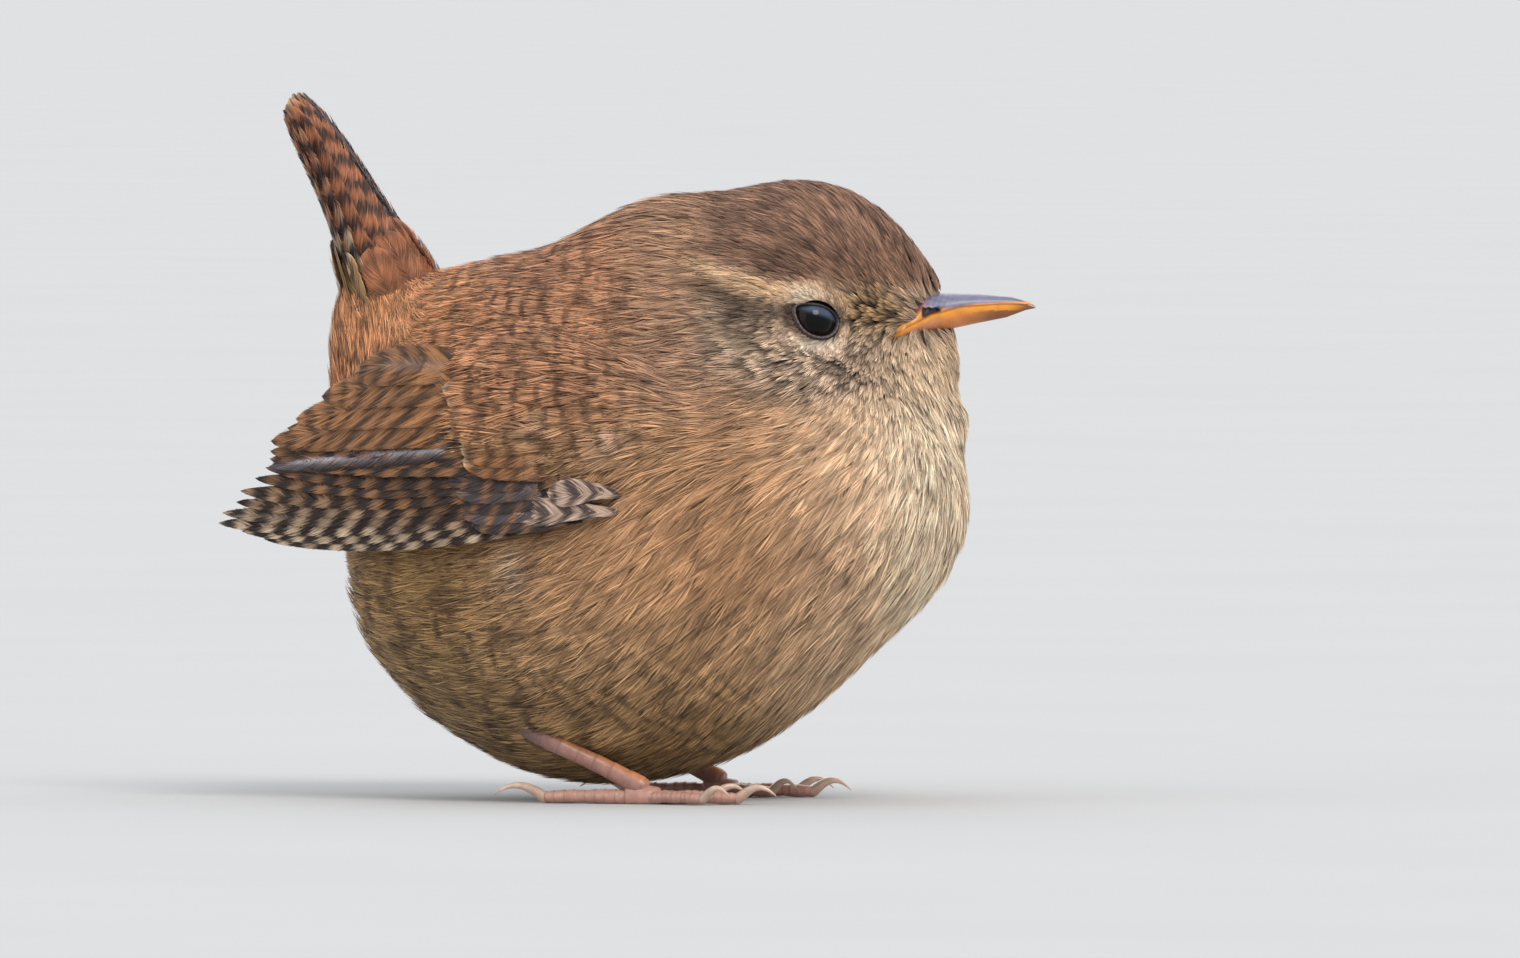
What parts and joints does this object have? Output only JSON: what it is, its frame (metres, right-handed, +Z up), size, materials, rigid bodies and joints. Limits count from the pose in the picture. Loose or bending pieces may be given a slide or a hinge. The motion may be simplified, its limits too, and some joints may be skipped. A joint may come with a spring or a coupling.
{
  "type": "wren",
  "caption": "Life-size still model of a Eurasian wren, standing with its short tail cocked and its head turned to its left.",
  "frame": {"origin": "on the floor under the middle of the bird's box", "axes": "+X ahead along the body, +Y to the bird's left, +Z up"},
  "size_m": [0.0796, 0.0492, 0.0708],
  "materials": {
    "plumage": "soft matt feathers, rufous brown above and cream buff on the breast",
    "wing_feathers": "matt feather vanes, rufous brown with dark bars, chequered buff on the outer webs",
    "tail_feathers": "matt feather vanes, rufous with dark brown bars",
    "eyes": "wet gloss, near black",
    "upper_bill": "satin horn, slate with a lilac bloom",
    "lower_bill": "satin horn, yellow orange, brown below the tip",
    "legs": "fine scaled skin, pinkish brown",
    "claws": "satin horn, pale pinkish grey"
  },
  "bodies": {
    "root": {"torso": "plumage", "neck": "plumage", "head": "plumage", "wing_right": "wing_feathers", "wing_left": "wing_feathers", "tail": "tail_feathers", "eye_right": "eyes", "eye_left": "eyes", "bill_upper": "upper_bill", "bill_lower": "lower_bill", "leg_right": "legs", "leg_left": "legs", "foot_right": "legs", "foot_left": "legs", "claw_right_1": "claws", "claw_right_2": "claws", "claw_right_3": "claws", "claw_right_4": "claws", "claw_left_1": "claws", "claw_left_2": "claws", "claw_left_3": "claws", "claw_left_4": "claws"}
  },
  "joints": []
}
